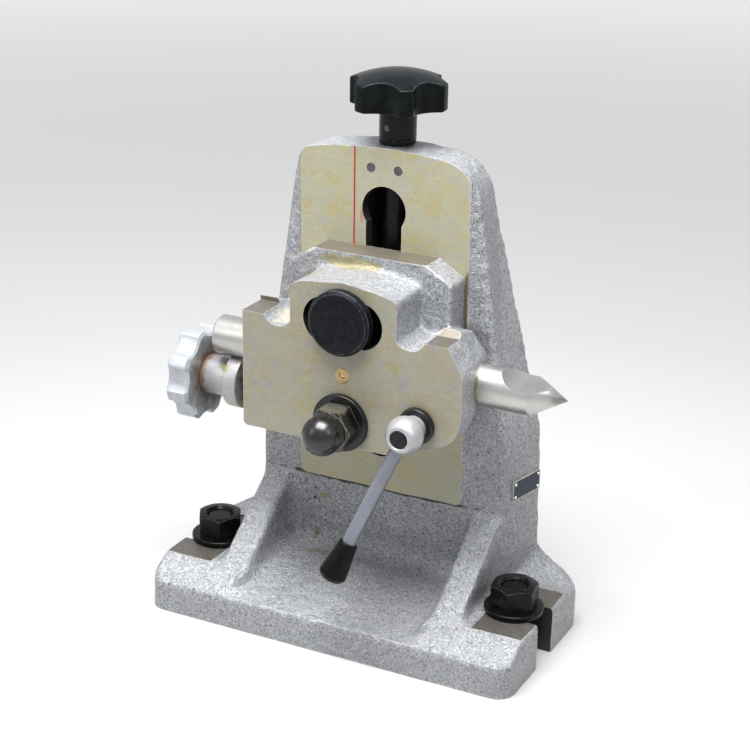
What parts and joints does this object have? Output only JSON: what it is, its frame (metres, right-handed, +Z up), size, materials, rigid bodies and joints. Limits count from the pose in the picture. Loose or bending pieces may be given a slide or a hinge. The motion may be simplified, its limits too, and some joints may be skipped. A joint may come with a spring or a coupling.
{
  "type": "tilting tailstock",
  "caption": "Tailstock with a height-adjustable, tilting head: screw-fed quill with a pointed centre, quill lock lever, star knobs and a slotted cast base.",
  "frame": {"origin": "underside of the base, below the middle of the column, in the quill's centre plane, which is also the end slots' centre line", "axes": "+X along the quill towards its point, +Y to the back of the column, +Z up"},
  "size_m": [0.1878, 0.1069, 0.2473],
  "materials": {
    "cast_iron_painted": "hammertone grey paint, machined faces bare",
    "black_steel": "black oxide",
    "bright_steel": "ground",
    "satin_steel": "satin chrome",
    "black_plastic": "satin",
    "knob_zinc": "cast, silver coated",
    "brass": "satin",
    "bronze": "machined",
    "plate_aluminium": "blank, black field with a bright edge"
  },
  "bodies": {
    "base": {"base_casting": "cast_iron_painted", "neck_pins": "black_steel", "nameplate": "plate_aluminium", "nameplate_rivets": "plate_aluminium", "hold_down_studs": "black_steel", "hold_down_washers": "black_steel", "hold_down_nuts": "black_steel"},
    "elevating_screw": {"elevating_screw": "bright_steel", "knob_sleeve": "black_steel", "knob_pin": "black_steel", "elevating_knob": "black_plastic"},
    "carriage": {"elevating_nut": "bronze", "arc_slot_bolt": "black_steel", "clamp_bolt": "black_steel", "clamp_washer": "black_steel"},
    "clamp_nut": {"cap_nut": "black_steel"},
    "head": {"head_casting": "cast_iron_painted", "oiler_cup": "brass", "oiler_ball": "bright_steel", "oiler_spring": "bright_steel", "lock_cotter_front": "bright_steel", "lock_cotter_rear": "bright_steel"},
    "lock_lever": {"lock_screw": "bright_steel", "lock_collar": "black_steel", "lever_hub": "satin_steel", "hub_cap_screw": "black_steel", "lever_arm": "satin_steel", "lever_grip": "black_plastic"},
    "quill": {"quill": "bright_steel"},
    "feed_screw": {"feed_screw": "bright_steel", "feed_knob": "knob_zinc", "feed_cap_screw": "bright_steel"}
  },
  "joints": [
    {"name": "elevating_screw_turn", "type": "hinge", "parent": "base", "child": "elevating_screw", "pos_m": [0, 0.0288, 0.2], "axis": [0, 0, -1], "range_deg": [-4320.5, 2880.5]},
    {"name": "head_lift", "type": "slide", "parent": "base", "child": "carriage", "axis": [0, 0, 1], "range_m": [-0.024, 0.016]},
    {"name": "clamp_nut_turn", "type": "hinge", "parent": "carriage", "child": "clamp_nut", "pos_m": [0, -0.03, 0.1033], "axis": [0, 1, 0], "range_deg": [-180, 0]},
    {"name": "head_tilt", "type": "hinge", "parent": "carriage", "child": "head", "pos_m": [0, 0, 0.1033], "axis": [0, 1, 0], "range_deg": [-15, 15]},
    {"name": "quill_slide", "type": "slide", "parent": "head", "child": "quill", "axis": [1, 0, 0], "range_m": [-0.01, 0.009]},
    {"name": "feed_screw_turn", "type": "hinge", "parent": "quill", "child": "feed_screw", "pos_m": [-0.07, 0, 0.1037], "axis": [1, 0, 0], "range_deg": [-2400.5, 2160.5]},
    {"name": "lock_lever_turn", "type": "hinge", "parent": "head", "child": "lock_lever", "pos_m": [0.0362, -0.03, 0.1091], "axis": [0, 1, 0], "range_deg": [-60, 25]}
  ],
  "couplings": [
    {"joint": "elevating_screw_turn", "follows": "head_lift", "rad_per_m": 3141.6},
    {"joint": "feed_screw_turn", "follows": "quill_slide", "rad_per_m": 4188.8}
  ]
}
